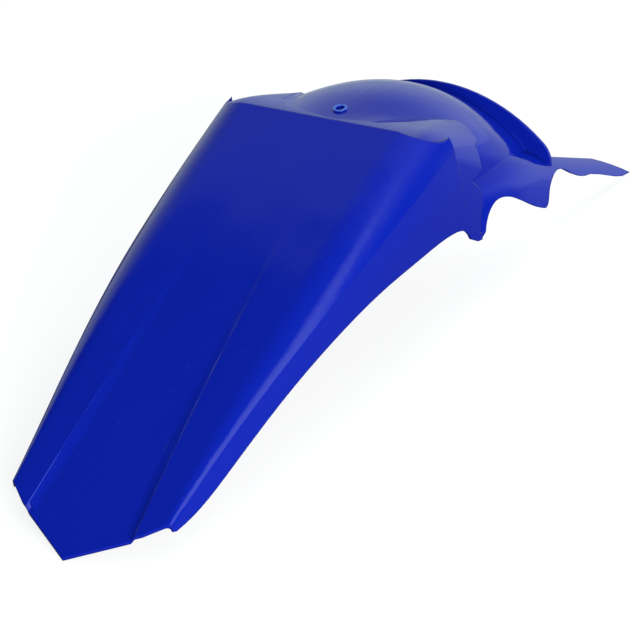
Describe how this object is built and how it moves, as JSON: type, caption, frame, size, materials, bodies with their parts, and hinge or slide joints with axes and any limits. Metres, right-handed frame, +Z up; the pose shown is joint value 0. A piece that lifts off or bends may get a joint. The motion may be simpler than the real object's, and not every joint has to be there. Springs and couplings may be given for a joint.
{
  "type": "motorcycle rear fender",
  "caption": "Moulded plastic rear fender for an off-road motorcycle: long tapered tail, side skirts, arched vault over the wheel, seat bolt collar and front prongs.",
  "frame": {"origin": "centre of the top of the seat bolt collar on the deck", "axes": "+X across the fender to its right side, +Y forward along the motorcycle, +Z up as it lies on its tail tip and prongs"},
  "size_m": [0.231, 0.6039, 0.1578],
  "materials": {
    "blue_plastic": "glossy blue moulded plastic, coloured through"
  },
  "bodies": {
    "root": {"rear_fender": "blue_plastic"}
  },
  "joints": []
}
